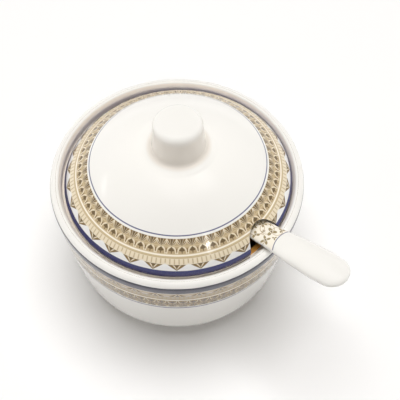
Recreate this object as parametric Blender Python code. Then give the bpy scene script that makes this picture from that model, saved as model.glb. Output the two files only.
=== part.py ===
"""Salt pot: a glazed bowl, a domed lid seated inside its rim, and a spoon lying through the lid's notch.

Metres, +Z up. The pot stands on z = 0 with its axis on the world Z axis. Radii are taken from that axis.
The spoon lies in the upright plane through the axis, turned by SPOON_AZIMUTH from +X.
"""
import math

import bmesh
import bpy
from mathutils import Matrix, Vector

MM = 0.001
TURN_STEPS = 56

# Pot: outside
RIM_RADIUS = 55.0 * MM
RIM_HEIGHT = 62.0 * MM
RIM_ROUND = 2.45 * MM
RIM_EDGE_ROUND = 2.0 * MM
RIM_INNER_DROP = 5.9 * MM
WALL_TOP_DROP = 1.0 * MM
WALL_BULGE = 700.0 * MM
WALL_TAPER_TOP = math.radians(6.0)
WALL_TAPER_FOOT = math.radians(9.8)
HEEL_ROUND = 16.0 * MM
FOOT_RADIUS = 36.6 * MM
FOOT_WIDTH = 3.4 * MM
FOOT_ROUND = 0.6 * MM
FOOT_RECESS = 1.6 * MM

# Pot: inside
WALL = 3.6 * MM
SEAT_DROP = 5.2 * MM
SEAT_LIP_RADIUS = 46.6 * MM
SEAT_LIP_DEPTH = 4.0 * MM
SEAT_BLEND = 8.0 * MM
SMALL_ROUND = 0.8 * MM

# Lid: the spoon props it up on one side, so it leans by LID_TILT and lies a little off the middle of its seat
LID_RADIUS = 49.2 * MM
LID_TILT = math.radians(2.3)
LID_RAISED_SIDE = math.radians(-60.0)
LID_SHIFT = 0.55 * MM
DOME_RADIUS = 60.0 * MM
DOME_CENTRE = RIM_HEIGHT - 35.1 * MM
LID_THICKNESS = 2.3 * MM
LID_EASE = 0.6 * MM
SEAT_GAP = 0.35 * MM
KNOB_RADIUS = 10.3 * MM
KNOB_BASE_RADIUS = 11.2 * MM
KNOB_TOP = RIM_HEIGHT + 39.4 * MM
KNOB_TOP_ROUND = 3.0 * MM
KNOB_CROWN = 0.6 * MM
KNOB_FILLET = 1.6 * MM
NOTCH_HALF_WIDTH = 9.0 * MM
NOTCH_HALF_LENGTH = 13.5 * MM
NOTCH_CENTRE = 50.65 * MM
NOTCH_DROP = 2.4 * MM
NOTCH_LEAN = math.radians(46.0)
NOTCH_AZIMUTH = math.radians(-42.0)
NOTCH_EASE = 0.5 * MM

# Spoon: the middle line runs from the end of the handle to the tip of the bowl
SPOON_AZIMUTH = math.radians(-41.6)
HANDLE_TILT = math.radians(10.5)
HANDLE_REACH = 87.4 * MM
HANDLE_STRAIGHT = 37.0 * MM
REST_GAP = 0.3 * MM
REST_THICKNESS = 4.2 * MM
NECK_BEND = 32.0 * MM
NECK_PITCH = math.radians(56.0)
NECK_STRAIGHT = 33.8 * MM
BOWL_BEND = 22.0 * MM
BOWL_PITCH = math.radians(10.0)
BOWL_STRAIGHT = 30.0 * MM
BOWL_LENGTH = 42.0 * MM
BOWL_DEPTH = 7.0 * MM
SECTION_POINTS = 20
SECTION_POWER = 2.5
SPOON_STATIONS = 60

# Half widths and thicknesses along the spoon, as (share of its length, size)
HALF_WIDTHS = ((0.045, 7.1), (0.09, 7.35), (0.15, 6.8), (0.265, 5.5), (0.315, 4.85), (0.42, 4.1), (0.6, 3.7),
               (0.7, 4.2), (0.77, 7.4), (0.845, 11.2), (0.9, 11.4), (0.965, 8.2))
THICKNESSES = ((0.02, 4.6), (0.06, 6.4), (0.13, 6.4), (0.2, 5.0), (0.245, 4.2), (0.3, 2.4), (0.4, 2.4),
               (0.65, 2.9), (0.8, 2.4), (0.97, 2.2))

GLAZE_WHITE = (0.92, 0.91, 0.88, 1.0)
GLAZE_ROUGHNESS = 0.12


def clear_scene():
    """Remove every object of the open scene."""
    for old in list(bpy.data.objects):
        bpy.data.objects.remove(old, do_unlink=True)


def glaze(name):
    """Return a clear-glazed white ceramic material.

    Args:
        name: the material's name.
    """
    material = bpy.data.materials.new(name)
    material.use_nodes = True
    shader = material.node_tree.nodes["Principled BSDF"]
    shader.inputs["Base Color"].default_value = GLAZE_WHITE
    shader.inputs["Roughness"].default_value = GLAZE_ROUGHNESS
    shader.inputs["Metallic"].default_value = 0.0
    material.diffuse_color = GLAZE_WHITE
    return material


def arc(centre, radius, start, end, steps):
    """Return points of an arc in the profile plane, from one angle to another.

    Args:
        centre: (radius, height) of the arc's centre.
        radius: the arc's own radius.
        start: first angle in degrees, from outward towards up.
        end: last angle in degrees.
        steps: number of stretches.
    """
    angles = (math.radians(start + (end - start) * i / steps) for i in range(steps + 1))
    return [(centre[0] + radius * math.cos(a), centre[1] + radius * math.sin(a)) for a in angles]


def add_object(name, shape):
    """Turn a bmesh into a named object with its own glaze.

    Args:
        name: the object's name.
        shape: the finished bmesh, which is freed.
    """
    bmesh.ops.recalc_face_normals(shape, faces=shape.faces)
    mesh = bpy.data.meshes.new(name)
    shape.to_mesh(mesh)
    shape.free()
    piece = bpy.data.objects.new(name, mesh)
    mesh.materials.append(glaze(name + "_glaze"))
    bpy.context.collection.objects.link(piece)
    return piece


def revolve(name, profile, origin_height, lean=0.0):
    """Turn a profile that starts and ends on the axis into a closed piece.

    Args:
        name: the object's name.
        profile: (radius, height) points, in order.
        origin_height: height of the piece's origin on the axis.
        lean: angle by which the piece is raised on the lid's raised side.
    """
    shape = bmesh.new()
    verts = [shape.verts.new((r, 0.0, z - origin_height)) for r, z in profile]
    edges = [shape.edges.new(pair) for pair in zip(verts, verts[1:])]
    bmesh.ops.spin(shape, geom=verts + edges, cent=(0, 0, 0), axis=(0, 0, 1), angle=math.tau,
                   steps=TURN_STEPS, use_merge=True)
    bmesh.ops.remove_doubles(shape, verts=shape.verts, dist=0.001 * MM)
    hinge = Vector((math.sin(LID_RAISED_SIDE), -math.cos(LID_RAISED_SIDE), 0.0))
    bmesh.ops.rotate(shape, verts=shape.verts, cent=(0, 0, 0), matrix=Matrix.Rotation(lean, 3, hinge))
    piece = add_object(name, shape)
    piece.location.z = origin_height
    return piece


def heel():
    """Return the wall's lower end, its middle arc's centre and the heel's centre, all as (radius, height)."""
    top = Vector((RIM_RADIUS, RIM_HEIGHT - WALL_TOP_DROP))
    bulge = top - WALL_BULGE * Vector((math.cos(WALL_TAPER_TOP), -math.sin(WALL_TAPER_TOP)))
    outward = Vector((math.cos(WALL_TAPER_FOOT), -math.sin(WALL_TAPER_FOOT)))
    end = bulge + WALL_BULGE * outward
    return end, bulge, end - HEEL_ROUND * outward


def pot_outside():
    """Return the outer profile from the axis under the base to the top of the wall."""
    _, bulge, centre = heel()
    foot_angle = -math.degrees(math.acos((FOOT_RADIUS - centre.x) / HEEL_ROUND))
    foot_inside = FOOT_RADIUS - FOOT_WIDTH
    points = [(0.0, FOOT_RECESS), (foot_inside - FOOT_RECESS, FOOT_RECESS)]
    points += arc((foot_inside + FOOT_ROUND, FOOT_ROUND), FOOT_ROUND, 200, 270, 3)
    points += arc((FOOT_RADIUS - FOOT_ROUND, FOOT_ROUND), FOOT_ROUND, 270, 350, 3)
    points += arc(centre, HEEL_ROUND, foot_angle, -math.degrees(WALL_TAPER_FOOT), 9)
    points += arc(bulge, WALL_BULGE, -math.degrees(WALL_TAPER_FOOT), -math.degrees(WALL_TAPER_TOP), 5)[1:]
    return points


def pot_inside():
    """Return the inner profile from the rim, over the lid's seat, to the axis on the floor."""
    _, bulge, centre = heel()
    seat = RIM_HEIGHT - SEAT_DROP
    rim_inside = RIM_RADIUS - 2 * RIM_ROUND
    lip = (SEAT_LIP_RADIUS + SMALL_ROUND, seat - SMALL_ROUND)
    below = seat - SEAT_LIP_DEPTH - SEAT_BLEND
    inner_bulge = WALL_BULGE - WALL
    blend_angle = -math.degrees(math.asin((bulge.y - below) / inner_bulge))
    points = arc((rim_inside - SMALL_ROUND, seat + SMALL_ROUND), SMALL_ROUND, 0, -90, 3)
    points += arc(lip, SMALL_ROUND, 90, 180, 3)
    points += [(SEAT_LIP_RADIUS, seat - SEAT_LIP_DEPTH)]
    points += arc(bulge, inner_bulge, blend_angle, -math.degrees(WALL_TAPER_FOOT), 4)
    points += arc(centre, HEEL_ROUND - WALL, -math.degrees(WALL_TAPER_FOOT), -90, 8)[1:]
    return points + [(0.0, centre.y - HEEL_ROUND + WALL)]


def build_pot():
    """Build the bowl with its foot ring, tapering wall, round rim and the seat for the lid."""
    rim_top = RIM_HEIGHT + RIM_ROUND
    rim = arc((RIM_RADIUS - RIM_EDGE_ROUND, rim_top - RIM_EDGE_ROUND), RIM_EDGE_ROUND, 0, 90, 5)
    crest = RIM_RADIUS - RIM_EDGE_ROUND
    slope = arc((0.0, 0.0), 1.0, 90, 180, 6)[1:]
    rim += [(crest + (crest - RIM_RADIUS + 2 * RIM_ROUND) * x, rim_top + RIM_INNER_DROP * (y - 1)) for x, y in slope]
    return revolve("pot", pot_outside() + rim + pot_inside(), 0.0)


def lid_profile():
    """Return the lid's section as it stands level: knob, dome, rounded edge, and the hollow underside."""
    foot = RIM_HEIGHT - SEAT_DROP + SEAT_GAP + LID_RADIUS * math.sin(LID_TILT)
    crown_edge = KNOB_RADIUS - KNOB_TOP_ROUND
    side_top = KNOB_TOP - KNOB_CROWN - KNOB_TOP_ROUND
    fillet_radius = KNOB_BASE_RADIUS + KNOB_FILLET
    fillet_height = DOME_CENTRE + math.sqrt((DOME_RADIUS + KNOB_FILLET) ** 2 - fillet_radius ** 2)
    flare = math.degrees(math.atan2(KNOB_BASE_RADIUS - KNOB_RADIUS, side_top - fillet_height))
    dome_start = math.degrees(math.acos(fillet_radius / (DOME_RADIUS + KNOB_FILLET)))
    points = [(0.0, KNOB_TOP), (0.5 * crown_edge, KNOB_TOP - 0.25 * KNOB_CROWN)]
    points += arc((crown_edge, side_top), KNOB_TOP_ROUND, 84, flare, 7)
    points += arc((fillet_radius, fillet_height), KNOB_FILLET, 180 + flare, 180 + dome_start, 5)
    dome_end = math.degrees(math.acos((LID_RADIUS - LID_EASE) / (DOME_RADIUS - LID_EASE)))
    points += arc((0.0, DOME_CENTRE), DOME_RADIUS, dome_start, dome_end, 14)[1:]
    turn = math.radians(dome_end)
    edge = (LID_RADIUS - LID_EASE, DOME_CENTRE + (DOME_RADIUS - LID_EASE) * math.sin(turn))
    points += arc(edge, LID_EASE, dome_end, 0, 4)[1:]
    points += arc((LID_RADIUS - LID_EASE, foot + LID_EASE), LID_EASE, 0, -90, 3)
    hollow = DOME_RADIUS - LID_THICKNESS
    hollow_start = math.degrees(math.asin((foot - DOME_CENTRE) / hollow))
    points += arc((0.0, DOME_CENTRE), hollow, hollow_start, 90, 10)
    points[-1] = (0.0, DOME_CENTRE + hollow)
    return points


def notch_cutter():
    """Return the oval cylinder, square to the dome, that cuts the spoon's notch out of the lid's edge."""
    bpy.ops.mesh.primitive_cylinder_add(vertices=48, radius=NOTCH_HALF_WIDTH, depth=40 * MM)
    cutter = bpy.context.object
    cutter.name = "notch_cutter"
    cutter.location = (NOTCH_CENTRE * math.cos(NOTCH_AZIMUTH), NOTCH_CENTRE * math.sin(NOTCH_AZIMUTH),
                       RIM_HEIGHT - NOTCH_DROP)
    cutter.rotation_euler = (0.0, NOTCH_LEAN, NOTCH_AZIMUTH)
    cutter.scale.x = NOTCH_HALF_LENGTH / NOTCH_HALF_WIDTH
    cutter.hide_render = True
    cutter.display_type = 'WIRE'
    return cutter


def build_lid():
    """Build the domed lid with its solid knob, and cut the round notch for the spoon."""
    lid = revolve("lid", lid_profile(), RIM_HEIGHT, LID_TILT)
    lid.location.x = LID_SHIFT
    cut = lid.modifiers.new("spoon_notch", 'BOOLEAN')
    cut.operation = 'DIFFERENCE'
    cut.solver = 'EXACT'
    cut.object = notch_cutter()
    ease = lid.modifiers.new("eased_notch", 'BEVEL')
    ease.width = NOTCH_EASE
    ease.segments = 2
    ease.limit_method = 'ANGLE'
    ease.angle_limit = math.radians(50)
    return lid


def along(table, share):
    """Return a size between a table's rows, eased smoothly from row to row.

    Args:
        table: (share, millimetres) rows in rising order.
        share: where along the spoon, from 0 to 1.
    """
    if share <= table[0][0]:
        return table[0][1] * MM
    for (start, first), (end, last) in zip(table, table[1:]):
        if share <= end:
            part = (share - start) / (end - start)
            return (first + (last - first) * part * part * (3 - 2 * part)) * MM
    return table[-1][1] * MM


def spoon_line():
    """Return the spoon's runs as (length, change of pitch), from the handle's end to the bowl's tip."""
    return ((HANDLE_STRAIGHT, 0.0), (NECK_BEND * (NECK_PITCH - HANDLE_TILT), NECK_PITCH - HANDLE_TILT),
            (NECK_STRAIGHT, 0.0), (BOWL_BEND * (NECK_PITCH - BOWL_PITCH), BOWL_PITCH - NECK_PITCH),
            (BOWL_STRAIGHT, 0.0))


def spoon_length():
    """Return the length of the spoon's middle line."""
    return sum(length for length, _ in spoon_line())


def spoon_frame(distance):
    """Return a point on the spoon's middle line and its pitch there.

    Args:
        distance: how far along the line from the handle's end.
    """
    place = Vector((HANDLE_REACH, 0.0, 0.0))
    pitch = HANDLE_TILT
    for length, turn in spoon_line():
        run = min(distance, length)
        middle = pitch + 0.5 * turn * run / length
        chord = run
        if turn:
            swing = 0.5 * turn * run / length
            chord = run * math.sin(swing) / swing if swing else run
        place += chord * Vector((-math.cos(middle), 0.0, -math.sin(middle)))
        pitch += turn * run / length
        distance -= run
        if distance <= 0.0:
            break
    return place, pitch


def end_taper(distance, length, half_width):
    """Return the factor from 0 to 1 that rounds both ends of the spoon in plan.

    Args:
        distance: how far along the middle line.
        length: the whole middle line.
        half_width: the half width that the ends are rounded with.
    """
    from_end = min(distance, length - distance)
    if from_end >= half_width:
        return 1.0
    return math.sqrt(max(0.0, 1.0 - (1.0 - from_end / half_width) ** 2))


def dish_depth(distance, length):
    """Return how far the bowl's middle is dished below its edge.

    Args:
        distance: how far along the middle line.
        length: the whole middle line.
    """
    share = (distance - (length - 0.5 * BOWL_LENGTH)) / (0.5 * BOWL_LENGTH)
    return BOWL_DEPTH * max(0.0, 1.0 - share * share) ** 1.2


def spoon_section(distance):
    """Return one closed section of the spoon, as points in its own upright plane.

    Args:
        distance: how far along the middle line.
    """
    length = spoon_length()
    share = distance / length
    place, pitch = spoon_frame(distance)
    up = Vector((-math.sin(pitch), 0.0, math.cos(pitch)))
    half_width = along(HALF_WIDTHS, share)
    taper = end_taper(distance, length, half_width)
    half_thick = 0.5 * along(THICKNESSES, share) * (0.25 + 0.75 * taper)
    half_width *= taper
    depth = dish_depth(distance, length)
    points = []
    for step in range(SECTION_POINTS):
        angle = math.tau * step / SECTION_POINTS
        across = math.copysign(abs(math.cos(angle)) ** (2 / SECTION_POWER), math.cos(angle))
        rise = math.copysign(abs(math.sin(angle)) ** (2 / SECTION_POWER), math.sin(angle))
        height = half_thick * rise - depth * (1 - across * across)
        points.append(place + Vector((0.0, half_width * across, 0.0)) + height * up)
    return points


def spoon_stations():
    """Return the distances of the sections, closer together towards both ends."""
    length = spoon_length()
    inset = 0.12 * MM
    evenly = (i / SPOON_STATIONS for i in range(SPOON_STATIONS + 1))
    eased = (0.55 * t + 0.45 * 0.5 * (1 - math.cos(math.pi * t)) for t in evenly)
    return [inset + (length - 2 * inset) * t for t in eased]


def build_spoon():
    """Build the spoon as one loft: round handle end, thin neck, and dished bowl that stands on the floor."""
    rest = Vector((RIM_RADIUS - RIM_ROUND, 0.0, RIM_HEIGHT + RIM_ROUND + REST_GAP))
    to_rest, pitch = spoon_frame((HANDLE_REACH - rest.x) / math.cos(HANDLE_TILT))
    lift = 0.5 * REST_THICKNESS / math.cos(pitch) - to_rest.z
    shape = bmesh.new()
    rings = []
    for distance in spoon_stations():
        ring = [shape.verts.new(point - Vector((rest.x, 0.0, -lift))) for point in spoon_section(distance)]
        rings.append(ring)
    for first, second in zip(rings, rings[1:]):
        for i in range(SECTION_POINTS):
            j = (i + 1) % SECTION_POINTS
            shape.faces.new((first[i], first[j], second[j], second[i]))
    shape.faces.new(rings[0])
    shape.faces.new(rings[-1])
    spoon = add_object("spoon", shape)
    spoon.rotation_euler.z = SPOON_AZIMUTH
    spoon.location = (rest.x * math.cos(SPOON_AZIMUTH), rest.x * math.sin(SPOON_AZIMUTH), rest.z)
    return spoon


def main():
    """Build the three pieces."""
    clear_scene()
    build_pot()
    build_lid()
    build_spoon()


main()
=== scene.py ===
"""Looks of a lidded salt pot: white glaze over a printed border, a leaning lid and a spoon in its notch.

Metres, +Z up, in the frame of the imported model. The pot stands on z = 0, and its axis is the Z axis.
"""

import logging
import math
from dataclasses import dataclass, field
from enum import Enum

import bpy
from mathutils import Matrix, Vector


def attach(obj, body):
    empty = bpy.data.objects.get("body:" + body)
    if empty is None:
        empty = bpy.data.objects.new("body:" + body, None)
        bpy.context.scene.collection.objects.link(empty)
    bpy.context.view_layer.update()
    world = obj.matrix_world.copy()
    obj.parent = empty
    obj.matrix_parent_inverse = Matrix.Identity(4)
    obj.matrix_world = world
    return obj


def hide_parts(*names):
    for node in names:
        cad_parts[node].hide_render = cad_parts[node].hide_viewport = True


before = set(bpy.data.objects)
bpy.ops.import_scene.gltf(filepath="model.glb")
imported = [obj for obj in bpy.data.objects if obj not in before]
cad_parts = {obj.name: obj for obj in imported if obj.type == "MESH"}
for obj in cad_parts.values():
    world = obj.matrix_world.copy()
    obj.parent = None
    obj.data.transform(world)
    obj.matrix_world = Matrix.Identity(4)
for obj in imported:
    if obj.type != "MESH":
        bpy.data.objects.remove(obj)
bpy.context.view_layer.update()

LOG = logging.getLogger("salt_pot")
MM = 0.001
RIM_HEIGHT = 62.0 * MM
SEAT_DROP = 2.9 * MM
OFF_PRINT = -99.0

Point = tuple[float, float]
Colour = tuple[float, float, float, float]


def on_screen(red: int, green: int, blue: int) -> Colour:
    """Turn a colour as a screen shows it into linear light.

    Args:
        red: red from 0 to 255.
        green: green from 0 to 255.
        blue: blue from 0 to 255.

    Returns:
        The linear colour with full alpha.
    """
    shares = [value / 255 for value in (red, green, blue)]
    linear = [s / 12.92 if s <= 0.04045 else ((s + 0.055) / 1.055) ** 2.4 for s in shares]
    return (*linear, 1.0)


class Ink(Enum):
    """The colours of the print, of the clay and of painted shade, as a screen shows them."""

    NAVY = (36, 41, 104)
    # Pale navy of print wear, and of painted reflection on the band's edge.
    NAVY_WORN = (84, 84, 128)
    HALO = (236, 239, 246)
    BROWN = (98, 76, 36)
    DARK_GOLD = (126, 101, 56)
    GOLD = (178, 154, 112)
    BEIGE = (210, 190, 152)
    PALE = (234, 221, 194)
    CREAM = (247, 239, 222)
    OLIVE = (154, 137, 97)
    # Painted shade over the navy band.
    BLACK_BLUE = (16, 14, 44)
    # Bare clay of the foot, and painted warm shade on the knob's side.
    BISCUIT = (222, 206, 186)

    @property
    def colour(self) -> Colour:
        """The ink as linear light."""
        return on_screen(*self.value)


@dataclass(frozen=True)
class Glaze:
    """A fired glaze: its ground colour, and how glossy it is."""

    ground: Colour
    roughness: float
    coat: float


WHITE_GLAZE = Glaze((0.855, 0.845, 0.812, 1.0), 0.16, 0.35)
# Amber-brown colour of the hollow.
AMBER_HOLLOW = Glaze((0.78, 0.38, 0.08, 1.0), 0.22, 0.2)
# Painted warm light: a pale warm beige for the light reflected onto the seat and the slope above it.
WARM_LIGHT_PAINT = Glaze((0.88, 0.81, 0.73, 1.0), 0.6, 0.0)


class Field:
    """A number that changes over a surface. Arithmetic on it adds shader nodes to its tree."""

    def __init__(self, tree: bpy.types.NodeTree, socket: bpy.types.NodeSocket) -> None:
        """Wrap one output socket of a tree."""
        self.tree = tree
        self.socket = socket

    def make(self, operation: str, *values: "Field | float", clamp: bool = False) -> "Field":
        """Add one math node.

        Args:
            operation: the node's operation.
            values: fields or plain numbers for its inputs, in order.
            clamp: whether the result is kept between 0 and 1.

        Returns:
            The node's result.
        """
        node = self.tree.nodes.new("ShaderNodeMath")
        node.operation = operation
        node.use_clamp = clamp
        for socket, value in zip(node.inputs, values):
            if isinstance(value, Field):
                self.tree.links.new(value.socket, socket)
            else:
                socket.default_value = value
        return Field(self.tree, node.outputs[0])

    def __add__(self, other: "Field | float") -> "Field":
        """Add."""
        return self.make("ADD", self, other)

    def __sub__(self, other: "Field | float") -> "Field":
        """Subtract."""
        return self.make("SUBTRACT", self, other)

    def __rsub__(self, other: float) -> "Field":
        """Subtract from a number."""
        return self.make("SUBTRACT", other, self)

    def __mul__(self, other: "Field | float") -> "Field":
        """Multiply."""
        return self.make("MULTIPLY", self, other)

    def __truediv__(self, other: "Field | float") -> "Field":
        """Divide."""
        return self.make("DIVIDE", self, other)

    def __abs__(self) -> "Field":
        """Drop the sign."""
        return self.make("ABSOLUTE", self)

    def most(self, other: "Field | float") -> "Field":
        """Take the larger value."""
        return self.make("MAXIMUM", self, other)

    def least(self, other: "Field | float") -> "Field":
        """Take the smaller value."""
        return self.make("MINIMUM", self, other)

    def root(self) -> "Field":
        """Take the square root, with nothing below zero."""
        bounded = self.most(0.0)
        return bounded.make("SQRT", bounded)

    def hypot(self, *others: "Field") -> "Field":
        """Return the length of the line that has this and the others as its sides.

        Args:
            others: the other sides.

        Returns:
            The length.
        """
        squares = self * self
        for other in others:
            squares = squares + other * other
        return squares.root()

    def angle_over(self, other: "Field | float") -> "Field":
        """Return the angle whose tangent is this over the other, in radians."""
        return self.make("ARCTAN2", self, other)

    def repeat(self) -> "Field":
        """Return how far this is from the nearest whole number, from -0.5 to 0.5."""
        shifted = self + 0.5
        return shifted.make("FRACT", shifted) - 0.5

    def below(self, limit: "Field | float", soft: float) -> "Field":
        """Return 1 where this is under a limit and 0 over it, changing over a soft width."""
        slope = (self - limit) * (-1.0 / soft)
        return slope.make("ADD", slope, 0.5, clamp=True)

    def above(self, limit: "Field | float", soft: float) -> "Field":
        """Return 1 where this is over a limit and 0 under it, changing over a soft width."""
        return self.below(limit, -soft)

    def between(self, low: float, high: float, soft: float) -> "Field":
        """Return 1 between two limits and 0 outside them, changing over a soft width at each."""
        return abs(self - 0.5 * (low + high)).below(0.5 * (high - low), soft)


class Paint:
    """Colours laid over one another in a tree, by mix nodes whose sockets are named here."""

    FACTOR = 0
    UNDER = 6
    OVER = 7
    RESULT = 2

    def __init__(self, tree: bpy.types.NodeTree, ground: bpy.types.NodeSocket | Colour) -> None:
        """Start from a ground colour or from its socket."""
        self.tree = tree
        self.colour = ground

    def layer(self, mask: Field, ink: Ink) -> None:
        """Lay an ink where a mask is 1.

        Args:
            mask: how much of the ink shows.
            ink: the ink.
        """
        mix = self.tree.nodes.new("ShaderNodeMix")
        mix.data_type = 'RGBA'
        self.tree.links.new(mask.socket, mix.inputs[self.FACTOR])
        if isinstance(self.colour, bpy.types.NodeSocket):
            self.tree.links.new(self.colour, mix.inputs[self.UNDER])
        else:
            mix.inputs[self.UNDER].default_value = self.colour
        mix.inputs[self.OVER].default_value = ink.colour
        self.colour = mix.outputs[self.RESULT]


class Group:
    """A shader node group with named sockets."""

    def __init__(self, name: str, inputs: dict[str, str], outputs: dict[str, str]) -> None:
        """Make the group and its sockets.

        Args:
            name: the group's name.
            inputs: socket types by name.
            outputs: socket types by name.
        """
        self.tree = bpy.data.node_groups.new(name, "ShaderNodeTree")
        for label, kind in inputs.items():
            self.tree.interface.new_socket(label, in_out='INPUT', socket_type=kind)
        for label, kind in outputs.items():
            self.tree.interface.new_socket(label, in_out='OUTPUT', socket_type=kind)
        self.entry = self.tree.nodes.new("NodeGroupInput")
        self.exit = self.tree.nodes.new("NodeGroupOutput")

    def given(self, label: str) -> Field:
        """Return an input as a field."""
        return Field(self.tree, self.entry.outputs[label])

    def give(self, label: str, socket: bpy.types.NodeSocket) -> None:
        """Send a socket to an output."""
        self.tree.links.new(socket, self.exit.inputs[label])

    def noise(self, scale: float, detail: float) -> Field:
        """Add a noise that follows the group's Place input.

        Args:
            scale: how often it changes, per metre.
            detail: how many finer noises are added.

        Returns:
            The noise, from 0 to 1.
        """
        node = self.tree.nodes.new("ShaderNodeTexNoise")
        self.tree.links.new(self.entry.outputs["Place"], node.inputs["Vector"])
        node.inputs["Scale"].default_value = scale
        node.inputs["Detail"].default_value = detail
        return Field(self.tree, node.outputs[0])


@dataclass
class PrintedBorder:
    """The printed border, drawn by rows. Heights are in millimetres from its thin line."""

    line: float = 0.26
    palmette_start: float = 1.3
    palmette_end: float = 4.1
    spade_tip: float = 4.5
    spade_shoulder: float = 5.9
    spade_end: float = 6.45
    stem_end: float = 7.4
    cord_place: float = 8.15
    groove_place: float = 9.15
    flute_start: float = 9.45
    pendant_start: float = 12.0
    pendant_tip: float = 14.55
    gap_tip: float = 11.4
    band_start: float = 14.65
    soft: float = 0.12
    flutes: int = 5
    group: Group = field(init=False)

    def __post_init__(self) -> None:
        """Draw every row into one node group."""
        numbers = ("Angle", "Along", "Pendants", "First Pendant", "Band End", "Shade")
        inputs = {name: "NodeSocketFloat" for name in numbers}
        inputs |= {"Place": "NodeSocketVector", "Ground": "NodeSocketColor"}
        self.group = Group("printed_border", inputs, {"Colour": "NodeSocketColor"})
        self.shade = self.group.given("Shade")
        turn = (self.group.given("Angle") - self.group.given("First Pendant")) / math.tau
        self.pendant_turn = turn * self.group.given("Pendants")
        self.along = self.group.given("Along") + (self.group.noise(90.0, 1.0) - 0.5) * 0.25
        self.paint = Paint(self.group.tree, self.group.entry.outputs["Ground"])
        self.pendant_x = abs(self.pendant_turn.repeat())
        self.motif_x = abs((self.pendant_turn * 2.0 + 0.5).repeat())
        self.draw_grounds()
        self.draw_palmettes()
        self.draw_spades()
        self.draw_mouldings()
        self.draw_pendants()
        self.draw_navy()
        self.group.give("Colour", self.paint.colour)

    def printed(self) -> Field:
        """Return the half width of the print beside a pendant's middle, which tapers to its tip."""
        return (self.pendant_tip - self.along) * (0.5 / (self.pendant_tip - self.gap_tip))

    def draw_grounds(self) -> None:
        """Lay the halo beside the band and the beige grounds of the gold rows, with painted shade in gold
        and brown over them.
        """
        halo = self.along.between(self.pendant_start, self.band_start, 2.0)
        self.paint.layer(halo * 0.5, Ink.HALO)
        # Painted shade: gold over the halo, as strong as the border's shade.
        self.paint.layer(halo * self.shade, Ink.GOLD)
        rows = self.along.between(self.palmette_start - 0.1, self.flute_start, self.soft)
        self.paint.layer(rows, Ink.BEIGE)
        flutes = self.along.between(self.flute_start, self.pendant_start, self.soft)
        self.paint.layer(flutes * self.pendant_x.below(self.printed() + 0.02, 0.14), Ink.PALE)
        # Painted shade: brown over the rows, weaker over the flutes.
        shaded = self.along.between(self.palmette_start, self.stem_end, self.soft)
        faint = self.along.between(self.stem_end, self.pendant_start, self.soft) * 0.6
        self.paint.layer((shaded + faint) * self.shade, Ink.BROWN)

    def draw_palmettes(self) -> None:
        """Draw the row of small fans: a cup with dark leaves spreading from its foot."""
        height = self.palmette_end - self.palmette_start
        share = (self.along - self.palmette_start) / height
        bowed = (share - 0.3).most(0.0) / 0.7
        half = (1.0 - bowed * bowed).root() * 0.5
        row = self.along.between(self.palmette_start, self.palmette_end, self.soft)
        self.paint.layer(row * 0.8, Ink.GOLD)
        self.paint.layer(row * self.motif_x.below(half, 0.04), Ink.PALE)
        spread = (self.motif_x * (height * 1.6)).angle_over((1.15 - share) * height)
        leaf = abs((spread / 0.42).repeat()).below(0.37, 0.12)
        cup = self.motif_x.below(half - 0.06, 0.05)
        self.paint.layer(row * cup * leaf, Ink.DARK_GOLD)
        heart = self.motif_x.below((1.0 - share) * 0.16, 0.06)
        self.paint.layer(row * heart * cup, Ink.BROWN)

    def draw_spades(self) -> None:
        """Draw the row of spades on stems, each under a pale arch, with a short dash between them."""
        row = self.along.between(self.palmette_end + 0.45, self.stem_end, self.soft)
        self.paint.layer(row * 0.75, Ink.GOLD)
        arch_x = self.motif_x / 0.42
        arch_y = (self.along - self.stem_end + 0.2) / 2.7
        arch = arch_x.hypot(arch_y) - 1.0
        self.paint.layer(abs(arch).below(0.13, 0.1) * row, Ink.PALE)
        rise = (self.along - self.spade_tip) / (self.spade_shoulder - self.spade_tip)
        fall = ((self.along - self.spade_shoulder) / (self.spade_end - self.spade_shoulder)).most(0.0)
        half = rise.least(1.0).least((1.0 - fall * fall).root()) * 0.28
        self.paint.layer(self.motif_x.below(half, 0.05) * row, Ink.BROWN)
        stem = self.along.between(self.spade_end - 0.2, self.stem_end - 0.1, self.soft)
        self.paint.layer(self.motif_x.below(0.04, 0.03) * stem, Ink.BROWN)
        dash = self.along.between(self.spade_tip + 0.7, self.spade_end + 0.4, self.soft)
        self.paint.layer(self.motif_x.above(0.44, 0.04) * dash, Ink.DARK_GOLD)

    def draw_mouldings(self) -> None:
        """Draw the pale cord between two fine lines, the groove, and the flutes above the pendants."""
        cord = self.along.between(self.cord_place - 0.35, self.cord_place + 0.35, 0.2)
        self.paint.layer(cord, Ink.CREAM)
        lines = ((self.cord_place - 0.5, 0.45), (self.cord_place + 0.5, 0.6), (self.groove_place, 0.85))
        for place, strength in lines:
            self.paint.layer(self.along.between(place - 0.1, place + 0.1, 0.14) * strength, Ink.GOLD)
        flute = abs((self.pendant_turn * float(self.flutes)).repeat()).above(0.36, 0.12)
        zone = self.along.between(self.flute_start + 0.1, self.pendant_start - 0.2, 0.3)
        self.paint.layer(flute * zone * self.pendant_x.below(self.printed() - 0.03, 0.1) * 0.75, Ink.GOLD)

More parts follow.
